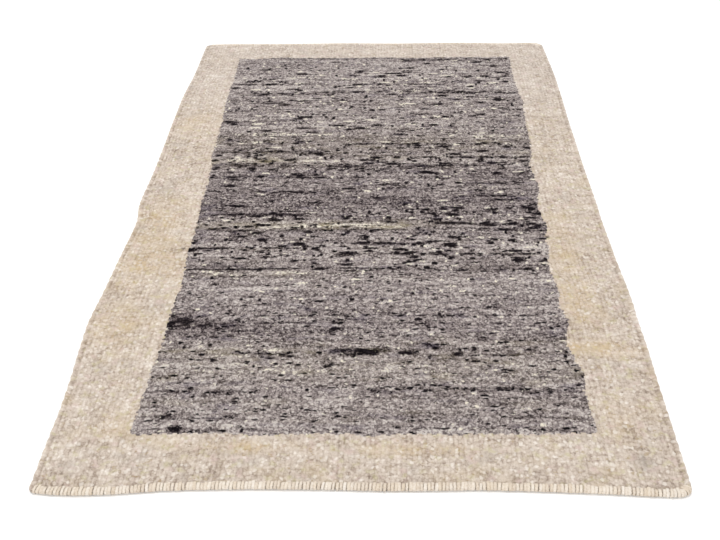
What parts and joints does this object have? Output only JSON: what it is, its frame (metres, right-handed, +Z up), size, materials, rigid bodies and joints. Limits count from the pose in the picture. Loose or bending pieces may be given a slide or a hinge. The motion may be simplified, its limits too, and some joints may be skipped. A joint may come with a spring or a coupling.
{
  "type": "handwoven wool runner rug",
  "caption": "Flat handwoven wool runner with a streaked grey field, a plain cream border, corded selvedges and whip-stitched ends.",
  "frame": {"origin": "under the middle of the rug, on the surface it lies on", "axes": "+X across the rug, +Y along its length from the near end to the far end, +Z up"},
  "size_m": [0.8078, 1.5073, 0.0072],
  "materials": {
    "grey_wool": "matt handspun wool flatweave, mixed greys with charcoal and cream flecks, cream at its border",
    "cream_wool": "matt undyed cream handspun wool"
  },
  "bodies": {
    "root": {"woven_cloth": "grey_wool", "end_binding_front": "cream_wool", "end_binding_back": "cream_wool"}
  },
  "joints": []
}
